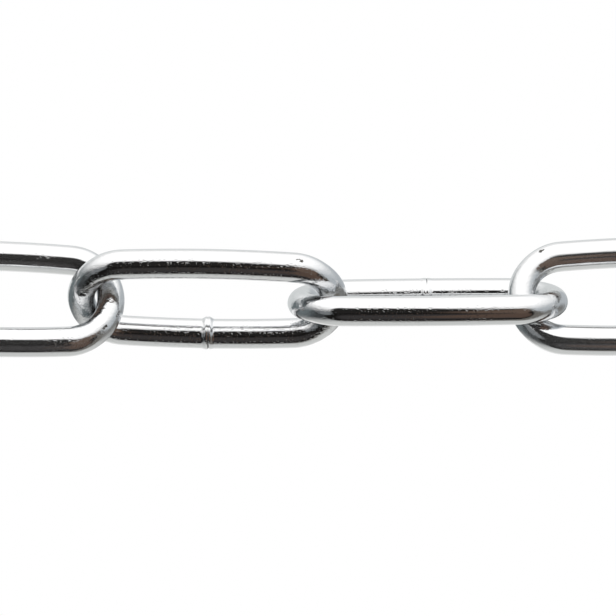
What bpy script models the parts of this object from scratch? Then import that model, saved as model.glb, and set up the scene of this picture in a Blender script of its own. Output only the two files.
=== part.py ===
"""A metre of bright zinc-plated long-link steel chain, pulled out straight on a floor.

Metres, +Z up. The chain runs along X with its middle over the origin, and the floor is z = 0.
Every link is one bent and welded piece of round wire, so every link is one object.
"""
import bpy
import numpy as np
from math import atan2, cos, pi, radians, sin, sqrt
from mathutils import Matrix, Vector

# Driving dimensions of one link, in metres
WIRE = 0.0047
CROWN_WIRE = 0.0043
HALF_LENGTH = 0.01982
HALF_WIDTH = 0.0073
END_RADIUS = 0.0069
WELD_RISE = 0.00018
WELD_WIDTH = 0.0009
WELD_FOOT = 0.0005

# How fine the wire is drawn
SECTION_SIDES = 10
BEND_STEPS = 7
FLAT_HALF = 0.0045
THIN_REACH = 1.3

# The length of chain, and how its links lie: degrees of roll about X, and of dip at the +X end
LINKS = 29
CLEARANCE = 0.0002
SHOWN_ROLL = {13: 59.4, 14: -56.3, 15: 2.9, 16: 63.3}
SHOWN_DIP = {13: 1.7, 14: 1.1, 15: -0.4, 16: -1.3}
BRIDGING = 15
BRIDGE_DROP = 0.0007
END_ROLL = {1: 54.0, 29: -54.0}
SETTLED_ROLL = 45.0
ROLL_WANDER = 5.0
ROLL_RHYTHM = 2.3
DIP_WANDER = 0.5
DIP_RHYTHM = 1.7

# How closely the distance between two hooked links is worked out
FINE_STEPS = 48
HALVINGS = 40

ZINC_COLOUR = (0.80, 0.81, 0.82, 1.0)
ZINC_ROUGHNESS = 0.15

# The side of a link is a long shallow arc that meets the round end bend
BEND_CENTRE = HALF_LENGTH - END_RADIUS
SIDE_RADIUS = (BEND_CENTRE ** 2 + HALF_WIDTH ** 2 - END_RADIUS ** 2) / (2 * (HALF_WIDTH - END_RADIUS))
JOIN_ANGLE = atan2(BEND_CENTRE, SIDE_RADIUS - HALF_WIDTH)


def side_height(along):
    """Distance of the side wire's centre from the link's long axis."""
    return sqrt(SIDE_RADIUS ** 2 - along ** 2) - (SIDE_RADIUS - HALF_WIDTH)


def bend_wire(share):
    """Wire radius round a bend, where share runs from 0 to 1: bending draws the crown thinner."""
    return (WIRE - (WIRE - CROWN_WIRE) * min(1.0, THIN_REACH * sin(pi * share))) / 2


def end_bend(steps):
    """Points (along, across, wire radius) round the +X end, from the welded side to the other.

    The inner points stand out so that the chords touch the true arc at their middles.
    """
    step = (pi - 2 * JOIN_ANGLE) / steps
    points = []
    for i in range(steps + 1):
        at_join = i in (0, steps)
        reach = END_RADIUS if at_join else END_RADIUS / cos(step / 2)
        angle = JOIN_ANGLE + i * step
        wire = WIRE / 2 if at_join else bend_wire(i / steps)
        points.append((BEND_CENTRE + reach * sin(angle), reach * cos(angle), wire))
    return points


def link_outline():
    """The whole loop of wire: welded side, +X bend, plain side, -X bend."""
    foot = WELD_WIDTH / 2 + WELD_FOOT
    raised = WIRE / 2 + WELD_RISE
    weld = [(-foot, WIRE / 2), (-WELD_WIDTH / 2, raised), (WELD_WIDTH / 2, raised), (foot, WIRE / 2)]
    welded_side = [(along, side_height(along), wire) for along, wire in weld]
    plain_side = [(along, -side_height(along), WIRE / 2) for along in (FLAT_HALF, -FLAT_HALF)]
    right = end_bend(BEND_STEPS)
    left = [(-along, across, wire) for along, across, wire in reversed(right)]
    return welded_side + right + plain_side + left


def link_curve():
    """One link as a closed wire in the XY plane, its weld on the +Y side."""
    curve = bpy.data.curves.new("chain_link", "CURVE")
    curve.dimensions = "3D"
    curve.twist_mode = "Z_UP"
    curve.resolution_u = 1
    curve.bevel_resolution = SECTION_SIDES // 2 - 2
    # A polygon whose corners and flats lie equally far outside and inside the round wire
    curve.bevel_depth = WIRE / (1 + cos(pi / SECTION_SIDES))
    outline = link_outline()
    spline = curve.splines.new("POLY")
    spline.points.add(len(outline) - 1)
    spline.use_cyclic_u = True
    for point, (along, across, wire) in zip(spline.points, outline):
        point.co = (along, across, 0.0, 1.0)
        point.radius = wire / (WIRE / 2)
        point.tilt = pi / SECTION_SIDES
    return curve


def link_turn(number):
    """A link's roll and dip as a rotation.

    The shown links lie as they do in the photograph. An end link lies on a flat of its section,
    and the others lean to and fro by turns, each a little more or less than the last.
    """
    if number in SHOWN_ROLL:
        roll, dip = SHOWN_ROLL[number], SHOWN_DIP[number]
    elif number in END_ROLL:
        roll, dip = END_ROLL[number], 0.0
    else:
        nearest = min(SHOWN_ROLL) if number < BRIDGING else max(SHOWN_ROLL)
        lean = 1 if (number - nearest) % 2 == 0 else -1
        roll = lean * (SETTLED_ROLL + ROLL_WANDER * sin(ROLL_RHYTHM * number))
        dip = DIP_WANDER * sin(DIP_RHYTHM * number)
    return Matrix.Rotation(radians(dip), 3, "Y") @ Matrix.Rotation(radians(roll), 3, "X")


def centreline(turn, end):
    """Turned points and wire radii round one end of a link, where end is 1 for +X and -1 for -X."""
    bend = end_bend(FINE_STEPS)
    places = [turn @ Vector((end * along, across, 0.0)) for along, across, _ in bend]
    return np.array(places), np.array([wire for _, _, wire in bend])


def spacing(turn, rise, next_turn, next_rise):
    """Distance along X between two hooked links that leaves CLEARANCE between their wires."""
    near, near_wire = centreline(turn, 1)
    far, far_wire = centreline(next_turn, -1)
    far = far + np.array((0.0, 0.0, next_rise - rise))
    reach = near_wire[:, None] + far_wire[None, :] + CLEARANCE
    tight, loose = 2 * HALF_LENGTH, 2 * (HALF_LENGTH - WIRE)
    for _ in range(HALVINGS):
        middle = (tight + loose) / 2
        apart = np.linalg.norm(near[:, None] - far[None, :] - (middle, 0.0, 0.0), axis=2)
        if (apart > reach).all():
            loose = middle
        else:
            tight = middle
    return loose


def floor_rise(mesh, turn):
    """Height of a link's middle when its lowest point touches the floor."""
    return -min((turn @ corner.co).z for corner in mesh.vertices)


def zinc_plate():
    """Bright zinc plating."""
    material = bpy.data.materials.new("zinc_plate")
    material.use_nodes = True
    shader = material.node_tree.nodes["Principled BSDF"]
    shader.inputs["Base Color"].default_value = ZINC_COLOUR
    shader.inputs["Metallic"].default_value = 1.0
    shader.inputs["Roughness"].default_value = ZINC_ROUGHNESS
    return material


def clear_scene():
    """Remove what the file holds."""
    for thing in list(bpy.data.objects):
        bpy.data.objects.remove(thing, do_unlink=True)


def link_mesh(curve):
    """The wire's surface as a mesh, shaded smooth."""
    draft = bpy.data.objects.new("draft", curve)
    bpy.context.scene.collection.objects.link(draft)
    bpy.context.view_layer.update()
    evaluated = draft.evaluated_get(bpy.context.evaluated_depsgraph_get())
    mesh = bpy.data.meshes.new_from_object(evaluated)
    bpy.data.objects.remove(draft, do_unlink=True)
    mesh.name = "chain_link"
    mesh.shade_smooth()
    return mesh


def main():
    """Lay the links in a row, each hooked in the last."""
    clear_scene()
    chain = bpy.data.collections.new("steel_chain")
    bpy.context.scene.collection.children.link(chain)

    mesh = link_mesh(link_curve())
    mesh.materials.clear()
    mesh.materials.append(zinc_plate())

    numbers = range(1, LINKS + 1)
    turns = {number: link_turn(number) for number in numbers}
    rises = {number: floor_rise(mesh, turns[number]) for number in numbers}
    rises[BRIDGING] = (rises[BRIDGING - 1] + rises[BRIDGING + 1]) / 2 - BRIDGE_DROP

    places = {1: 0.0}
    for number in range(2, LINKS + 1):
        before = number - 1
        places[number] = places[before] + spacing(
            turns[before], rises[before], turns[number], rises[number])
    first_tip = min((turns[1] @ corner.co).x for corner in mesh.vertices)
    last_tip = places[LINKS] + max((turns[LINKS] @ corner.co).x for corner in mesh.vertices)
    middle = (first_tip + last_tip) / 2

    for number in numbers:
        link = bpy.data.objects.new(f"link_{number:02d}", mesh)
        link.location = (places[number] - middle, 0.0, rises[number])
        link.rotation_euler = turns[number].to_euler()
        chain.objects.link(link)


main()
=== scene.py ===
"""A metre of bright zinc-plated long-link steel chain, pulled out straight on a pale studio floor.

Metres, +Z up, the chain along X on the floor z = 0. Every link is one bent and welded piece of
round wire. A node tree sweeps the wire round the link's oval, draws it thinner at the bends, raises
the flash of the weld with its seam, and lays the link where its solid lies.
"""
import logging
from dataclasses import dataclass, field
from enum import Enum
from math import atan2, cos, pi, radians, sin, sqrt, tau
from typing import Any

import bpy
import numpy as np
from mathutils import Matrix, Vector


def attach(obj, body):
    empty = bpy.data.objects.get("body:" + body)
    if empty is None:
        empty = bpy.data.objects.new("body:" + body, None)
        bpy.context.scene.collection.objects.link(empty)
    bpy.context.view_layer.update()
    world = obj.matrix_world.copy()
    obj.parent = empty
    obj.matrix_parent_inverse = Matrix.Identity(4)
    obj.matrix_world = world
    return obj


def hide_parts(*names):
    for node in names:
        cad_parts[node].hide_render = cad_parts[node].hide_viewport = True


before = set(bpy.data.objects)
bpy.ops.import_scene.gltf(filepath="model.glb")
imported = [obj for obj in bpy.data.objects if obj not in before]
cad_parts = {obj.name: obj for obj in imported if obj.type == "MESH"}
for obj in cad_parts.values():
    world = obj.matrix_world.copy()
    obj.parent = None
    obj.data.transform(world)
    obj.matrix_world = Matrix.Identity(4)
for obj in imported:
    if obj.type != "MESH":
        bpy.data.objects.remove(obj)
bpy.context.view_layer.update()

log = logging.getLogger("steel_chain")

MM = 0.001
GOLDEN_SHARE = (sqrt(5) - 1) / 2

# What a link's mesh carries for its finish: the place on its wire, the place from its knock, and how
# far each spot is bent, in the weld's seam, worn and clouded
WIRE_PLACE = "wire_place"
KNOCK_PLACE = "knock_place"
BEND_SHARE = "bend_share"
SEAM_SHARE = "seam_share"
WEAR = "wear"
CLOUD = "cloud"

# Blender's names for the nodes that are used most
MATH = "ShaderNodeMath"
VECTOR = "ShaderNodeVectorMath"
MAP = "ShaderNodeMapRange"
NOISE = "ShaderNodeTexNoise"

# The value about which Blender's noise wanders
NOISE_MIDDLE = 0.5

# What a node's input can take: a node, a socket or a plain value
Feed = Any
Colour = tuple[float, float, float, float]


def linear(hex_code: str) -> Colour:
    """Turns an sRGB hex colour into linear light.

    Args:
        hex_code: six hex digits after a hash, such as "#DADCDF".

    Returns:
        Red, green, blue and an alpha of 1.
    """
    dark_end, dark_slope, offset, power = 0.04045, 12.92, 0.055, 2.4
    channels = [int(hex_code[start:start + 2], 16) / 255 for start in (1, 3, 5)]
    light = [c / dark_slope if c <= dark_end else ((c + offset) / (1 + offset)) ** power
             for c in channels]
    return (light[0], light[1], light[2], 1.0)


def add_node(tree: bpy.types.NodeTree, kind: str, *feeds: Feed, named: dict[str, Feed] | None = None,
             **settings: Any) -> bpy.types.Node:
    """Adds one node with its settings and links.

    Args:
        tree: the node tree that takes it.
        kind: Blender's name for the type of node.
        feeds: what the shown inputs get, in order, with None for one that keeps its value.
        named: what inputs get by name.
        settings: the node's own properties.

    Returns:
        The new node.
    """
    node = tree.nodes.new(kind)
    for name, value in settings.items():
        setattr(node, name, value)
    shown = [socket for socket in node.inputs if socket.enabled]
    pairs = list(zip(shown, feeds))
    pairs += [(next(s for s in shown if s.name == name), feed) for name, feed in (named or {}).items()]
    for socket, feed in pairs:
        if isinstance(feed, bpy.types.Node):
            feed = next(out for out in feed.outputs if out.enabled)
        if isinstance(feed, bpy.types.NodeSocket):
            tree.links.new(feed, socket)
        elif feed is not None:
            socket.default_value = feed
    return node


@dataclass(frozen=True)
class BrightZincPlate:
    """Electroplated zinc over drawn steel wire, bright dipped.

    The plating is a few thousandths of a millimetre of nearly mirror-bright metal. It follows the
    wire below, so the eye sees the drawing lines along the wire, shallow dimples that break up the
    edge of every reflection where the wire was handled, and a rougher skin where it was bent. A
    link also has one knock, where another link struck it, and dark flux in the seam of its weld. The
    knock's dents are coloured dark: bare steel, with painted shade in the nick. On some links a thin
    film of white oxide clouds the plating and greys its darkest reflections.

    Attributes:
        colour: the plating.
        dull_and_shade_colour: the bottom of a knock and of the seam, where the plating is thin; in
        the knock's dents this colour is also painted shade.
        roughness: the shine between the marks.
        dull_roughness: the shine in knocks and in the seam.
        line_length: length of a drawing line.
        line_width: distance between drawing lines. Real ones are finer than a pixel of the render.
        line_depth: their height.
        dimple_length: distance between dimples along the wire.
        dimple_width: distance between them round the wire.
        dimple_depth: their depth.
        worn_length: length of a stretch with dimples, along the wire.
        worn_gain: how much the link's wear adds to the noise that places the stretches.
        worn_edge: where on that noise a stretch starts, and where its dimples are full.
        dimple_edge: where on their own noise the dimples start, and where they are full.
        skin_size: grain of the bent skin.
        skin_depth: its height.
        knock_length: half the length of a knock along the wire.
        knock_width: half its width.
        knock_grain: distance between its dents.
        knock_depth: their depth.
        knock_edge: where on the dents' noise a knock starts, and where it is full.
        film_share: how much of the light the film scatters on a clouded link.
    """

    colour: str = "#E2E3E4"
    dull_and_shade_colour: str = "#55534F"
    roughness: float = 0.07
    dull_roughness: float = 0.3
    line_length: float = 4.0 * MM
    line_width: float = 0.25 * MM
    line_depth: float = 0.006 * MM
    dimple_length: float = 0.4 * MM
    dimple_width: float = 0.26 * MM
    dimple_depth: float = 0.013 * MM
    worn_length: float = 7.0 * MM
    worn_gain: float = 0.4
    worn_edge: tuple[float, float] = (0.6, 0.85)
    dimple_edge: tuple[float, float] = (0.57, 0.7)
    skin_size: float = 0.9 * MM
    skin_depth: float = 0.06 * MM
    knock_length: float = 1.1 * MM
    knock_width: float = 0.7 * MM
    knock_grain: float = 0.36 * MM
    knock_depth: float = 0.06 * MM
    knock_edge: tuple[float, float] = (0.28, 0.4)
    film_share: float = 0.05

    def material(self) -> bpy.types.Material:
        """Builds the plating's material.

        Returns:
            The material, which reads what each link's mesh carries.
        """
        material = bpy.data.materials.new("bright_electroplated_zinc")
        material.use_nodes = True
        tree = material.node_tree
        tree.nodes.clear()
        carried = {name: add_node(tree, "ShaderNodeAttribute", attribute_name=name).outputs
                   for name in (WIRE_PLACE, KNOCK_PLACE, BEND_SHARE, SEAM_SHARE, WEAR, CLOUD)}
        place, from_knock = carried[WIRE_PLACE]["Vector"], carried[KNOCK_PLACE]["Vector"]
        bent, seam = carried[BEND_SHARE]["Fac"], carried[SEAM_SHARE]["Fac"]
        wear, cloud = carried[WEAR]["Fac"], carried[CLOUD]["Fac"]

        line_shape = (self.line_width / self.line_length, 1, 1)
        drawn = add_node(tree, VECTOR, place, line_shape, operation="MULTIPLY")
        lines = add_node(tree, NOISE, drawn, named={"Scale": 1 / self.line_width, "Detail": 2.0})
        height = add_node(tree, MATH, lines, self.line_depth, operation="MULTIPLY")

        stretches = add_node(tree, NOISE, place, named={"Scale": 1 / self.worn_length, "Detail": 1.0})
        handled = add_node(tree, MATH, wear, self.worn_gain, stretches, operation="MULTIPLY_ADD")
        worn = add_node(tree, MAP, handled, *self.worn_edge)
        dimple_shape = (self.dimple_width / self.dimple_length, 1, 1)
        long = add_node(tree, VECTOR, place, dimple_shape, operation="MULTIPLY")
        grain = add_node(tree, NOISE, long, named={"Scale": 1 / self.dimple_width, "Detail": 2.0})
        pits = add_node(tree, MAP, grain, *self.dimple_edge)
        dimples = add_node(tree, MATH, pits, worn, operation="MULTIPLY")
        height = add_node(tree, MATH, dimples, -self.dimple_depth, height, operation="MULTIPLY_ADD")

        skin = add_node(tree, NOISE, place, named={"Scale": 1 / self.skin_size, "Detail": 3.0})
        rough_skin = add_node(tree, MATH, skin, bent, operation="MULTIPLY")
        height = add_node(tree, MATH, rough_skin, self.skin_depth, height, operation="MULTIPLY_ADD")

        knock_shape = (self.knock_width / self.knock_length, 1, 1)
        spread = add_node(tree, VECTOR, from_knock, knock_shape, operation="MULTIPLY")
        reach = add_node(tree, VECTOR, spread, operation="LENGTH").outputs["Value"]
        near = add_node(tree, MAP, reach, 0.0, self.knock_width, 1.0, 0.0)
        dents = add_node(tree, NOISE, place, named={"Scale": 1 / self.knock_grain, "Detail": 1.0})
        struck = add_node(tree, MATH, near, dents, operation="MULTIPLY")
        knock = add_node(tree, MAP, struck, *self.knock_edge)
        height = add_node(tree, MATH, knock, -self.knock_depth, height, operation="MULTIPLY_ADD")

        # The knock's dents and the seam take the darker colour: bare steel and flux, with painted shade
        # in the dents
        dull_and_shade = add_node(tree, MATH, knock, seam, operation="MAXIMUM")
        colour = add_node(tree, "ShaderNodeMix", data_type="RGBA", named={
            "Factor": dull_and_shade, "A": linear(self.colour), "B": linear(self.dull_and_shade_colour)})
        rough = add_node(tree, MAP, dull_and_shade, 0.0, 1.0, self.roughness, self.dull_roughness)
        bump = add_node(tree, "ShaderNodeBump", named={"Distance": 1.0, "Height": height})
        bare = add_node(tree, MAP, cloud, 0.0, 1.0, 1.0, 1.0 - self.film_share)
        shader = add_node(tree, "ShaderNodeBsdfPrincipled", named={
            "Base Color": colour, "Metallic": bare, "Roughness": rough, "Normal": bump})
        add_node(tree, "ShaderNodeOutputMaterial", shader)
        return material


@dataclass(frozen=True)
class OpalTableTop:
    """Cast opal acrylic with a matt face, lit from below: an even soft white with no shine.

    Attributes:
        colour: its face.
        roughness: how matt it is.
        glow: the light that comes through, where 1 shows as white.
    """

    colour: str = "#F6F6F6"
    roughness: float = 0.9
    glow: float = 0.8

    def material(self) -> bpy.types.Material:
        """Builds the floor's material.

        Returns:
            The material.
        """
        material = bpy.data.materials.new("cast_opal_acrylic")
        material.use_nodes = True
        tree = material.node_tree
        tree.nodes.clear()
        face = add_node(tree, "ShaderNodeBsdfDiffuse", linear(self.colour), self.roughness)
        through = add_node(tree, "ShaderNodeEmission", linear(self.colour), self.glow)
        both = add_node(tree, "ShaderNodeAddShader", face, through)
        add_node(tree, "ShaderNodeOutputMaterial", both)
        return material


@dataclass(frozen=True)
class Seat:
    """Where a link lies: its middle, and its turn from lying flat along X with its weld towards +Y."""

    middle: Vector
    turn: Matrix

    @classmethod
    def of_node(cls, node: str) -> "Seat":
        """Reads the place of a link from the solid that it stands for.

        The solid's corners spread most along the link and least through its flat. Only the welded
        side has corners near the middle of its length.

        Args:
            node: the name of the link's solid.

        Returns:
            The link's seat.
        """
        weld_reach = 2 * MM
        corners = np.array([corner.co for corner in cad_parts[node].data.vertices], float)
        directions = np.linalg.eigh(np.cov((corners - corners.mean(axis=0)).T))[1]
        along, across = directions[:, 2] * np.sign(directions[0, 2]), directions[:, 1]
        axes = np.column_stack((along, across, np.cross(along, across)))
        places = corners @ axes
        middle = (places.max(axis=0) + places.min(axis=0)) / 2
        reach = np.abs(places[:, 0] - middle[0])
        bends = places[reach > reach.max() / 2]
        middle[1] = (bends[:, 1].max() + bends[:, 1].min()) / 2
        weld_side = np.sign(places[reach < weld_reach][:, 1].mean() - middle[1])
        turn = axes * (1, weld_side, weld_side)
        return cls(Vector(axes @ middle), Matrix(turn.tolist()))


@dataclass(frozen=True)
class LinkSizes:
    """The driving sizes of one link, in metres.

    Attributes:
        wire: diameter of the wire on the sides.
        crown_wire: diameter at the crown of an end bend, where bending drew it thinner.
        half_length: from the link's middle to the wire's centre at the crown.
        half_width: from the link's middle to the wire's centre at the sides.
        end_radius: radius of the end bend at the wire's centre.
        thinning_reach: share of half a bend over which the wire thins.
        weld_rise: height of the weld's flash on the outside of the link, where it was trimmed.
        weld_crest: its height on the inside of the link, where the tool doesn't reach.
        weld_width: width of the flash at its foot.
        weld_lip: from the middle of the flash to the top of each of its two lips.
        weld_saddle: how much lower it is between its lips, as a share of its height.
        weld_waver: how far the flash wanders along the wire as it goes round.
        seam_width: width of the seam between the wire's two ends.
        seam_depth: its depth.
        seam_offset: from the middle of the flash to the seam.
        wander: how far the drawn wire strays from round.
        bend_wander: how much further it strays in the bends.
    """

    wire: float = 4.7 * MM
    crown_wire: float = 4.3 * MM
    half_length: float = 19.82 * MM
    half_width: float = 7.3 * MM
    end_radius: float = 6.9 * MM
    thinning_reach: float = 0.56
    weld_rise: float = 0.13 * MM
    weld_crest: float = 0.38 * MM
    weld_width: float = 2.1 * MM
    weld_lip: float = 0.25 * MM
    weld_saddle: float = 0.1
    weld_waver: float = 0.2 * MM
    seam_width: float = 0.3 * MM
    seam_depth: float = 0.15 * MM
    seam_offset: float = 0.08 * MM
    wander: float = 0.02 * MM
    bend_wander: float = 0.09 * MM

    @property
    def bend_centre(self) -> float:
        """Distance from the link's middle to the middle of an end bend."""
        return self.half_length - self.end_radius

    @property
    def side_radius(self) -> float:
        """Radius of the long shallow arc of a side, which meets the end bend smoothly."""
        return ((self.bend_centre ** 2 + self.half_width ** 2 - self.end_radius ** 2)
                / (2 * (self.half_width - self.end_radius)))

    @property
    def join_angle(self) -> float:
        """Angle from the middle of a side to where it meets the bend."""
        return atan2(self.bend_centre, self.side_radius - self.half_width)

    @property
    def side_length(self) -> float:
        """Length of wire from the middle of a side to the bend."""
        return self.side_radius * self.join_angle

    @property
    def bend_length(self) -> float:
        """Length of wire from the start of a bend to its crown."""
        return self.end_radius * (pi / 2 - self.join_angle)

    @property
    def round_length(self) -> float:
        """Length of wire once round the link."""
        return 4 * (self.side_length + self.bend_length)

    @property
    def path_shift(self) -> tuple[float, float, float]:
        """Moves the side's arc and the bend's arc, each drawn about its own middle, to one path."""
        return (-self.end_radius * sin(self.join_angle),
                self.half_width - self.side_radius - self.end_radius * cos(self.join_angle), 0.0)


class Kind(Enum):
    """The kinds of input that the link's node tree takes."""

    NUMBER = "NodeSocketFloat"
    VECTOR = "NodeSocketVector"
    MATERIAL = "NodeSocketMaterial"


class LinkTree:
    """The node tree that makes one plated link from its sizes and its seat.

    The path starts at the weld, where its points stand closest, and goes round by the +X bend.

    Attributes:
        tree: Blender's node tree.
        identifiers: what a modifier calls each input.
        given: the inputs as the tree's nodes take them.
        along: reads how far along the wire a spot lies, from the weld.
        round: reads how far round the wire it lies, as an angle.
        full_turn: gives the length of wire once round the link.
        wire_place: gives a spot's place along and round the wire, shifted by the link's seed.
    """

    # Points along the wire and round it, and how much closer those along it stand at the weld
    POINTS_ALONG = 256
    POINTS_AROUND = 40
    CROWDING = 0.88

    # Size of the ripples in the flash, of the drawn wire's straying and of the bends' unevenness
    RIPPLE_SIZE = 2.5 * MM
    STRAY_SIZE = 5 * MM
    CRUMPLE_SIZE = 2.2 * MM

    # How squarely the wire's surface faces the inside of the link, where 1 is fully: from the first
    # value on the flash covers the seam, and up to the second it leaves it open
    COVERED_FACING = 0.8
    OPEN_FACING = 0.5

    INPUTS: dict[str, Kind] = {
        "Wire": Kind.NUMBER, "Crown Wire": Kind.NUMBER, "Side Radius": Kind.NUMBER,
        "End Radius": Kind.NUMBER, "Join Angle": Kind.NUMBER, "Side Length": Kind.NUMBER,
        "Bend Length": Kind.NUMBER, "Thinning Reach": Kind.NUMBER, "Path Shift": Kind.VECTOR,
        "Weld Rise": Kind.NUMBER, "Weld Crest": Kind.NUMBER, "Weld Width": Kind.NUMBER,
        "Weld Lip": Kind.NUMBER, "Weld Saddle": Kind.NUMBER, "Weld Waver": Kind.NUMBER,
        "Seam Width": Kind.NUMBER, "Seam Depth": Kind.NUMBER, "Seam Offset": Kind.NUMBER,
        "Wander": Kind.NUMBER, "Bend Wander": Kind.NUMBER, "Wear": Kind.NUMBER,
        "Cloud": Kind.NUMBER, "Knock Along": Kind.NUMBER, "Knock Round": Kind.NUMBER,
        "Seed": Kind.NUMBER, "Middle": Kind.VECTOR, "Turn": Kind.VECTOR, "Plating": Kind.MATERIAL}

    def __init__(self) -> None:
        """Builds the tree."""
        self.tree = bpy.data.node_groups.new("chain_link", "GeometryNodeTree")
        interface = self.tree.interface
        interface.new_socket("Geometry", in_out="OUTPUT", socket_type="NodeSocketGeometry")
        self.identifiers: dict[str, str] = {}
        for name, kind in self.INPUTS.items():
            socket = interface.new_socket(name, in_out="INPUT", socket_type=kind.value)
            self.identifiers[name] = socket.identifier
        self.given = add_node(self.tree, "NodeGroupInput").outputs
        tree, given = self.tree, self.given
        shaped = self.weld_and_wander(self.placed_on_wire(self.swept_wire()))
        smooth = add_node(tree, "GeometryNodeSetShadeSmooth", shaped)
        laid = add_node(tree, "GeometryNodeTransform", smooth, given["Middle"], given["Turn"])
        real = add_node(tree, "GeometryNodeRealizeInstances", laid)
        plated = add_node(tree, "GeometryNodeSetMaterial", real, named={"Material": given["Plating"]})
        add_node(tree, "NodeGroupOutput", plated)

    def swept_wire(self) -> bpy.types.Node:
        """Sweeps the wire's section round the link's oval.

        Returns:
            The node with the swept mesh, which carries its place along and round the wire and its
            share of bend.
        """
        tree, given = self.tree, self.given
        index = add_node(tree, "GeometryNodeInputIndex")
        even = add_node(tree, MATH, index, tau / self.POINTS_ALONG, operation="MULTIPLY")
        sway = add_node(tree, MATH, even, operation="SINE")
        circuit = add_node(tree, MATH, sway, -self.CROWDING, even, operation="MULTIPLY_ADD")
        quarters = add_node(tree, MATH, circuit, 4 / tau, operation="MULTIPLY")
        fold = add_node(tree, MATH, quarters, 1.0, operation="PINGPONG")
        side_length = given["Side Length"]
        quarter_length = add_node(tree, MATH, side_length, given["Bend Length"], operation="ADD")
        reach = add_node(tree, MATH, fold, quarter_length, operation="MULTIPLY")
        on_side = add_node(tree, MATH, reach, side_length, operation="MINIMUM")
        side_angle = add_node(tree, MATH, on_side, given["Side Radius"], operation="DIVIDE")
        past_side = add_node(tree, MATH, reach, on_side, operation="SUBTRACT")
        turned = add_node(tree, MATH, past_side, given["End Radius"], operation="DIVIDE")
        bend_angle = add_node(tree, MATH, turned, given["Join Angle"], operation="ADD")

        arcs = []
        for angle, radius in ((side_angle, given["Side Radius"]), (bend_angle, given["End Radius"])):
            out = add_node(tree, MATH, angle, operation="SINE")
            over = add_node(tree, MATH, angle, operation="COSINE")
            unit = add_node(tree, "ShaderNodeCombineXYZ", out, over)
            arcs.append(add_node(tree, VECTOR, unit, named={"Scale": radius}, operation="SCALE"))
        both = add_node(tree, VECTOR, arcs[0], arcs[1], operation="ADD")
        folded = add_node(tree, VECTOR, both, given["Path Shift"], operation="ADD")
        mirrors = [add_node(tree, MATH, add_node(tree, MATH, circuit, operation=wave), operation="SIGN")
                   for wave in ("SINE", "COSINE")]
        mirror = add_node(tree, "ShaderNodeCombineXYZ", mirrors[0], mirrors[1])
        place = add_node(tree, VECTOR, folded, mirror, operation="MULTIPLY")

        loop = add_node(tree, "GeometryNodeCurvePrimitiveCircle", self.POINTS_ALONG)
        oval = add_node(tree, "GeometryNodeSetPosition", loop, named={"Position": place})
        upright = add_node(tree, "GeometryNodeSetCurveNormal", oval, mode="Z_UP")
        full_turn = add_node(tree, MATH, quarter_length, 4.0, operation="MULTIPLY")
        turns = add_node(tree, MATH, circuit, 1 / tau, operation="MULTIPLY")
        along = add_node(tree, MATH, turns, full_turn, operation="MULTIPLY")
        path = self.marked(upright, "along", along)
        bend_end = add_node(tree, MATH, given["Bend Length"], given["Thinning Reach"], side_length,
                            operation="MULTIPLY_ADD")
        bent = add_node(tree, MAP, reach, side_length, bend_end, interpolation_type="SMOOTHSTEP")
        path = self.marked(path, BEND_SHARE, bent)
        circle = add_node(tree, "GeometryNodeCurvePrimitiveCircle", self.POINTS_AROUND,
                          named={"Radius": 1.0})
        turn = add_node(tree, MATH, index, tau / self.POINTS_AROUND, operation="MULTIPLY")
        section = self.marked(circle, "round", turn)
        width = add_node(tree, MAP, bent, 0.0, 1.0, given["Wire"], given["Crown Wire"])
        radius = add_node(tree, MATH, width, 2.0, operation="DIVIDE")
        mesh = add_node(tree, "GeometryNodeCurveToMesh", path, section, named={"Scale": radius})

        self.along, self.round, self.full_turn = self.read("along"), self.read("round"), full_turn
        return mesh

    def placed_on_wire(self, mesh: bpy.types.Node) -> bpy.types.Node:
        """Marks each spot with its place on the wire and its place from the link's knock.

        The last faces before the weld run on to the full length, and not back to nothing.

        Args:
            mesh: the node with the swept wire.

        Returns:
            The node with the marked wire.
        """
        tree, given = self.tree, self.given
        face_along = add_node(tree, "GeometryNodeFieldOnDomain", self.along, data_type="FLOAT",
                              domain="FACE")
        lag = add_node(tree, MATH, face_along, self.along, operation="SUBTRACT")
        quarter = add_node(tree, MATH, self.full_turn, 4.0, operation="DIVIDE")
        closing = add_node(tree, MATH, lag, quarter, operation="GREATER_THAN")
        along = add_node(tree, MATH, closing, self.full_turn, self.along, operation="MULTIPLY_ADD")
        seeded = add_node(tree, MATH, given["Seed"], self.full_turn, along, operation="MULTIPLY_ADD")
        half_wire = add_node(tree, MATH, given["Wire"], 2.0, operation="DIVIDE")
        spots = []
        for angle, reach in ((self.round, seeded), (self.round, along),
                             (given["Knock Round"], given["Knock Along"])):
            waves = [add_node(tree, MATH, angle, operation=wave) for wave in ("COSINE", "SINE")]
            ring = [add_node(tree, MATH, wave, half_wire, operation="MULTIPLY") for wave in waves]
            spots.append(add_node(tree, "ShaderNodeCombineXYZ", reach, ring[0], ring[1]))
        self.wire_place, unseeded, knock = spots
        from_knock = add_node(tree, VECTOR, unseeded, knock, operation="SUBTRACT")
        mesh = self.marked(mesh, WIRE_PLACE, self.wire_place, "FLOAT_VECTOR", "CORNER")
        mesh = self.marked(mesh, KNOCK_PLACE, from_knock, "FLOAT_VECTOR", "CORNER")
        return self.marked(self.marked(mesh, WEAR, given["Wear"]), CLOUD, given["Cloud"])

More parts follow.
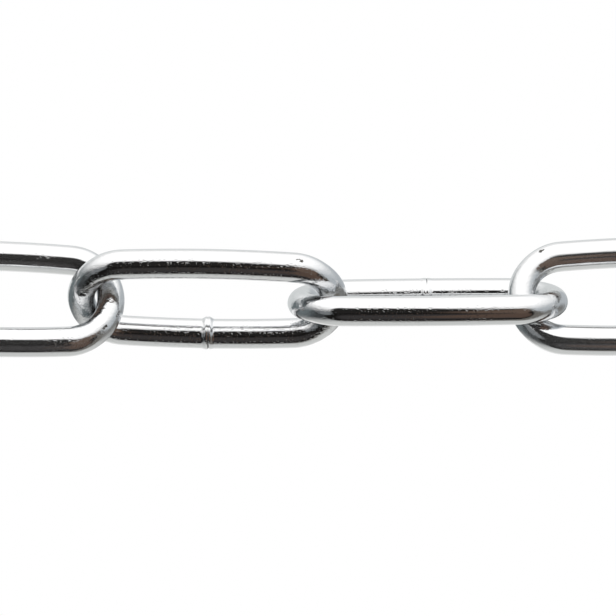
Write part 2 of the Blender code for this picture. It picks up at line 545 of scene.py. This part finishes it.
    def weld_and_wander(self, mesh: bpy.types.Node) -> bpy.types.Node:
        """Raises the weld's flash, cuts its seam, and lets the wire stray a little from round.

        On the inside of the link the flash closes over the seam.

        Args:
            mesh: the node with the swept wire.

        Returns:
            The node with the shaped wire.
        """
        tree, given = self.tree, self.given
        half_turn = add_node(tree, MATH, self.full_turn, 2.0, operation="DIVIDE")
        back = add_node(tree, MATH, half_turn, -1.0, operation="MULTIPLY")
        from_weld = add_node(tree, MATH, self.along, half_turn, back, operation="WRAP")
        ripple, stray, crumple = (
            add_node(tree, NOISE, self.wire_place, named={"Scale": 1 / size, "Detail": 1.0})
            for size in (self.RIPPLE_SIZE, self.STRAY_SIZE, self.CRUMPLE_SIZE))
        sway = add_node(tree, MATH, ripple, NOISE_MIDDLE, operation="SUBTRACT")
        waver = add_node(tree, MATH, sway, given["Weld Waver"], from_weld, operation="MULTIPLY_ADD")
        distance = add_node(tree, MATH, waver, operation="ABSOLUTE")
        foot = add_node(tree, MATH, given["Weld Width"], 2.0, operation="DIVIDE")
        flank = add_node(tree, MAP, distance, foot, given["Weld Lip"], interpolation_type="SMOOTHSTEP")
        dip = add_node(tree, MAP, distance, given["Weld Lip"], 0.0, 0.0, given["Weld Saddle"],
                       interpolation_type="SMOOTHSTEP")
        lips = add_node(tree, MATH, flank, dip, operation="SUBTRACT")
        normal = add_node(tree, "GeometryNodeInputNormal")
        outward = add_node(tree, "ShaderNodeSeparateXYZ", normal).outputs["Y"]
        height = add_node(tree, MAP, outward, 0.0, -1.0, given["Weld Rise"], given["Weld Crest"])
        about_one = add_node(tree, MATH, ripple, 1 - NOISE_MIDDLE, operation="ADD")
        uneven = add_node(tree, MATH, height, about_one, operation="MULTIPLY")
        flash = add_node(tree, MATH, lips, uneven, operation="MULTIPLY")

        past_seam = add_node(tree, MATH, waver, given["Seam Offset"], operation="SUBTRACT")
        from_seam = add_node(tree, MATH, past_seam, operation="ABSOLUTE")
        half_seam = add_node(tree, MATH, given["Seam Width"], 2.0, operation="DIVIDE")
        gap = add_node(tree, MAP, from_seam, half_seam, 0.0, interpolation_type="SMOOTHSTEP")
        uncovered = add_node(tree, MAP, outward, -self.COVERED_FACING, -self.OPEN_FACING)
        seam = add_node(tree, MATH, gap, uncovered, operation="MULTIPLY")
        mesh = self.marked(mesh, SEAM_SHARE, seam)
        cut = add_node(tree, MATH, given["Seam Depth"], -1.0, operation="MULTIPLY")
        shaped = add_node(tree, MATH, seam, cut, flash, operation="MULTIPLY_ADD")

        bent = self.read(BEND_SHARE)
        bend_stray = add_node(tree, MATH, bent, given["Bend Wander"], operation="MULTIPLY")
        for wave, size in ((stray, given["Wander"]), (crumple, bend_stray)):
            centred = add_node(tree, MATH, wave, NOISE_MIDDLE, operation="SUBTRACT")
            shaped = add_node(tree, MATH, centred, size, shaped, operation="MULTIPLY_ADD")
        offset = add_node(tree, VECTOR, normal, named={"Scale": shaped}, operation="SCALE")
        return add_node(tree, "GeometryNodeSetPosition", mesh, named={"Offset": offset})

    def marked(self, geometry: bpy.types.Node, name: str, value: Feed, kind: str = "FLOAT",
               domain: str = "POINT") -> bpy.types.Node:
        """Stores a value on every point or corner of a geometry under a name."""
        return add_node(self.tree, "GeometryNodeStoreNamedAttribute", geometry, data_type=kind,
                        domain=domain, named={"Name": name, "Value": value})

    def read(self, name: str) -> bpy.types.Node:
        """Reads a number that the geometry carries."""
        return add_node(self.tree, "GeometryNodeInputNamedAttribute", name, data_type="FLOAT")

    def grown(self, name: str, values: dict[str, Any]) -> bpy.types.Object:
        """Makes one link as a plain mesh.

        Args:
            name: the new object's name.
            values: what each named input of the tree gets.

        Returns:
            The link, at the origin, with its place in its mesh.
        """
        link = bpy.data.objects.new(name, bpy.data.meshes.new(name))
        bpy.context.scene.collection.objects.link(link)
        modifier = link.modifiers.new("grown", "NODES")
        modifier.node_group = self.tree
        for label, value in values.items():
            modifier[self.identifiers[label]] = value
        depsgraph = bpy.context.evaluated_depsgraph_get()
        mesh = bpy.data.meshes.new_from_object(link.evaluated_get(depsgraph), depsgraph=depsgraph)
        mesh.name = name
        link.modifiers.remove(modifier)
        link.data = mesh
        return link


@dataclass(frozen=True)
class Marks:
    """What a link has been through.

    Attributes:
        weld: how much of the usual height its weld has, and its seam of the usual width and depth.
        wear: how much of its wire is dimpled, from 0 to 1.
        cloud: how much its plating has clouded, from 0 to 1.
        knock_along: length of wire from the weld to its knock.
        knock_round: degrees from the outside of the link round the wire to its knock.
    """

    weld: float
    wear: float
    cloud: float
    knock_along: float
    knock_round: float

    # How a mark changes from link to link: its middle value, how far it strays and how fast
    WELD_RHYTHM = (0.8, 0.2, 3.3)
    WEAR_RHYTHM = (0.5, 0.4, 1.9)
    CLOUD_RHYTHM = (0.4, 0.4, 2.6)

    @classmethod
    def of_number(cls, number: int, full_turn: float) -> "Marks":
        """Spreads welds, wear, clouding and knocks over the links that the photograph doesn't show.

        Args:
            number: the link's place in the chain.
            full_turn: length of wire once round the link.

        Returns:
            The link's marks.
        """
        weld, wear, cloud = (middle + stray * sin(pace * number) for middle, stray, pace in (
            cls.WELD_RHYTHM, cls.WEAR_RHYTHM, cls.CLOUD_RHYTHM))
        return cls(weld, wear, cloud, full_turn * (GOLDEN_SHARE * number % 1),
                   360 * (GOLDEN_SHARE * GOLDEN_SHARE * number % 1))


@dataclass
class ChainLink:
    """One link of the chain.

    Attributes:
        node: the solid that it stands for, which is also the body that it moves with.
        number: its place in the chain, which makes its marks its own.
        sizes: the sizes that every link shares.
        marks: what it has been through.
    """

    node: str
    number: int
    sizes: LinkSizes
    marks: Marks

    def build(self, tree: LinkTree, plating: bpy.types.Material) -> bpy.types.Object:
        """Makes the link where its solid lies.

        Args:
            tree: the node tree that makes links.
            plating: the finish.

        Returns:
            The link's object.
        """
        seat, sizes, marks = Seat.of_node(self.node), self.sizes, self.marks
        values = {
            "Wire": sizes.wire, "Crown Wire": sizes.crown_wire, "Side Radius": sizes.side_radius,
            "End Radius": sizes.end_radius, "Join Angle": sizes.join_angle,
            "Side Length": sizes.side_length, "Bend Length": sizes.bend_length,
            "Thinning Reach": sizes.thinning_reach, "Path Shift": sizes.path_shift,
            "Weld Rise": marks.weld * sizes.weld_rise, "Weld Crest": marks.weld * sizes.weld_crest,
            "Weld Width": sizes.weld_width, "Weld Lip": sizes.weld_lip,
            "Weld Saddle": sizes.weld_saddle, "Weld Waver": sizes.weld_waver,
            "Seam Width": marks.weld * sizes.seam_width, "Seam Depth": marks.weld * sizes.seam_depth,
            "Seam Offset": sizes.seam_offset, "Wander": sizes.wander,
            "Bend Wander": sizes.bend_wander, "Wear": marks.wear, "Cloud": marks.cloud,
            "Knock Along": marks.knock_along, "Knock Round": radians(marks.knock_round),
            "Seed": float(self.number),
            "Middle": tuple(seat.middle), "Turn": tuple(seat.turn.to_euler()), "Plating": plating}
        return tree.grown(f"plated_{self.node}", values)

    def dress(self, link: bpy.types.Object) -> None:
        """Lets the link stand for its solid and move with its body.

        Args:
            link: the link's object.
        """
        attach(link, self.node)
        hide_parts(self.node)


@dataclass
class Chain:
    """The whole chain: one link for each solid of the frame.

    Attributes:
        sizes: the sizes that every link shares.
        finish: the plating.
        shown_marks: the marks of the links that the photograph shows, by their place in the chain.
    """

    sizes: LinkSizes = field(default_factory=LinkSizes)
    finish: BrightZincPlate = field(default_factory=BrightZincPlate)
    shown_marks: dict[int, Marks] = field(default_factory=lambda: {
        13: Marks(weld=0.8, wear=0.5, cloud=0.45, knock_along=28.5 * MM, knock_round=-121.0),
        14: Marks(weld=1.0, wear=1.0, cloud=0.0, knock_along=33.5 * MM, knock_round=162.0),
        15: Marks(weld=0.6, wear=0.65, cloud=0.0, knock_along=65.0 * MM, knock_round=-100.0),
        16: Marks(weld=0.8, wear=0.2, cloud=0.6, knock_along=78.9 * MM, knock_round=-122.0)})

    def build(self) -> list[bpy.types.Object]:
        """Builds and dresses every link.

        Returns:
            The links in order.
        """
        tree, plating = LinkTree(), self.finish.material()
        links = []
        for number, node in enumerate(sorted(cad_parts), start=1):
            marks = self.shown_marks.get(number) or Marks.of_number(number, self.sizes.round_length)
            part = ChainLink(node, number, self.sizes, marks)
            link = part.build(tree, plating)
            part.dress(link)
            log.info("%s: %d faces", link.name, len(link.data.polygons))
            links.append(link)
        return links


@dataclass
class Camera:
    """The camera at the photograph's viewing angle: a long lens, low and square to the chain.

    Attributes:
        target: the point in the middle of the picture.
        azimuth: degrees round from looking along +Y.
        elevation: degrees above the floor.
        roll: degrees that the picture leans.
        distance: from the target.
        lens: focal length in millimetres for a sensor of 36 mm.
    """

    target: tuple[float, float, float] = (-18.79 * MM, 0.0, 7.14 * MM)
    azimuth: float = -0.256
    elevation: float = 8.118
    roll: float = 0.056
    distance: float = 599.25 * MM
    lens: float = 223.33

    def build(self) -> bpy.types.Object:
        """Places the camera and makes it the scene's own.

        Returns:
            The camera.
        """
        data = bpy.data.cameras.new("camera")
        data.sensor_width = 36.0
        data.lens = self.lens
        data.clip_start, data.clip_end = 10 * MM, 100.0
        camera = bpy.data.objects.new("camera", data)
        bpy.context.scene.collection.objects.link(camera)
        azimuth, elevation = radians(self.azimuth), radians(self.elevation)
        back = Vector((sin(azimuth) * cos(elevation), -cos(azimuth) * cos(elevation), sin(elevation)))
        roll = Matrix.Rotation(radians(-self.roll), 3, "Z")
        aim = (-back).to_track_quat("-Z", "Y").to_matrix() @ roll
        place = Matrix.Translation(Vector(self.target) + self.distance * back)
        camera.matrix_world = place @ aim.to_4x4()
        bpy.context.scene.camera = camera
        return camera


@dataclass(frozen=True)
class Patch:
    """A round patch of the studio with a soft edge, as the chain sees it.

    Attributes:
        name: what it is.
        azimuth: degrees round from straight behind the chain, by way of +X.
        elevation: degrees above the floor.
        reach: degrees from its middle to the middle of its edge.
        fade: degrees that its edge takes.
        colour: its colour.
        strength: its brightness, where 1 shows as white.
    """

    name: str
    azimuth: float
    elevation: float
    reach: float
    fade: float
    colour: str
    strength: float = 1.0

    def axis(self) -> tuple[float, float, float]:
        """The direction of its middle."""
        azimuth, elevation = radians(self.azimuth), radians(self.elevation)
        return (sin(azimuth) * cos(elevation), cos(azimuth) * cos(elevation), sin(elevation))

    def over(self, tree: bpy.types.NodeTree, direction: Feed, below: Feed) -> bpy.types.Node:
        """Lays the patch over what is there.

        Args:
            tree: the world's node tree.
            direction: where the light comes from.
            below: the colour without the patch.

        Returns:
            The node that gives the colour with the patch.
        """
        rim = cos(radians(self.reach + self.fade / 2))
        core = cos(radians(self.reach - self.fade / 2))
        facing = add_node(tree, VECTOR, direction, self.axis(), operation="DOT_PRODUCT")
        share = add_node(tree, MAP, facing, rim, core, interpolation_type="SMOOTHSTEP")
        light = tuple(self.strength * channel for channel in linear(self.colour)[:3]) + (1.0,)
        return add_node(tree, "ShaderNodeMix", share, below, light, data_type="RGBA", label=self.name)


@dataclass
class Studio:
    """The pale floor and the soft light round the chain.

    The wire mirrors the whole studio, so its bands are the studio's own: a broad white ceiling,
    a white backdrop, grey walls, and the dark of the room behind the camera. The floor is as white
    as what the camera sees round it. The camera and the mirroring wire see through it, so that a
    link that swings down past it still shows, and a patch of the studio stands for it in the wire.

    Attributes:
        floor_reach: half the side of the floor.
        floor_drop: how far the floor lies below the chain's lowest point.
        floor: the floor's finish.
        room: colour of the room where no patch lies.
        patches: what is in the room, from the back to the front.
    """

    floor_reach: float = 60.0
    floor_drop: float = 0.15 * MM
    floor: OpalTableTop = field(default_factory=OpalTableTop)
    room: str = "#434647"

    # Each patch has its azimuth, elevation, reach, fade, colour and, where it isn't 1, strength
    patches: tuple[Patch, ...] = (
        Patch("right wall", 74, 16, 60, 12, "#BFC4C8"),
        Patch("right wall's foot", 68, -38, 36, 20, "#80807E"),
        Patch("left wall", -66, 2, 39, 28, "#70787A"),
        Patch("backdrop", -15, 11, 33, 6, "#DEE1E1"),
        Patch("far edge of the table", -4, -42, 14, 26, "#FFFEFD", 1.4),
        Patch("ceiling", 189, 74, 59, 60, "#FFFEFD", 1.4),
        Patch("table", 20, -74, 31, 60, "#DBDCDA"),
        Patch("brown floor in front", 148, -42, 39, 12, "#73706B"),
        Patch("dark room behind the camera", 178, -29, 44.5, 6, "#191817"),
        Patch("camera stand", 192, 10, 20, 7, "#262524"),
        Patch("light wall left of the camera", 224, -9, 14, 10, "#7F8284"),
        Patch("grey stripe in the dark", 175, -40, 19, 16, "#3D3B3B"),
        Patch("brown curtain", 154.5, -36, 19, 7, "#5C4C43"),
        Patch("brown card", 157.5, -4, 18, 7, "#66564C"))

    def build(self) -> None:
        """Makes the floor and the light."""
        place = (0, 0, -self.floor_drop)
        bpy.ops.mesh.primitive_plane_add(size=2 * self.floor_reach, location=place)
        board = bpy.context.object
        board.name = "floor"
        board.data.materials.append(self.floor.material())
        board.visible_glossy = False
        board.visible_camera = False
        self.light()

    def light(self) -> None:
        """Lights the scene with the studio's patches, on white."""
        world = bpy.data.worlds.new("studio")
        bpy.context.scene.world = world
        world.use_nodes = True
        tree = world.node_tree
        tree.nodes.clear()
        direction = add_node(tree, "ShaderNodeTexCoord").outputs["Generated"]
        light = linear(self.room)
        for patch in self.patches:
            light = patch.over(tree, direction, light)
        ray = add_node(tree, "ShaderNodeLightPath").outputs
        white = (1.0, 1.0, 1.0, 1.0)
        shown = add_node(tree, "ShaderNodeMix", ray["Is Camera Ray"], light, white,
                         data_type="RGBA")
        background = add_node(tree, "ShaderNodeBackground", shown, 1.0)
        add_node(tree, "ShaderNodeOutputWorld", background)
        settings = bpy.context.scene.view_settings
        settings.view_transform = "Standard"
        settings.look = "None"


def main() -> None:
    """Builds the chain, the studio and the camera."""
    logging.basicConfig(level=logging.INFO, format="%(name)s: %(message)s")
    Camera().build()
    links = Chain().build()
    log.info("%d links, %d faces", len(links), sum(len(link.data.polygons) for link in links))
    Studio().build()


if __name__ == "__main__":
    main()
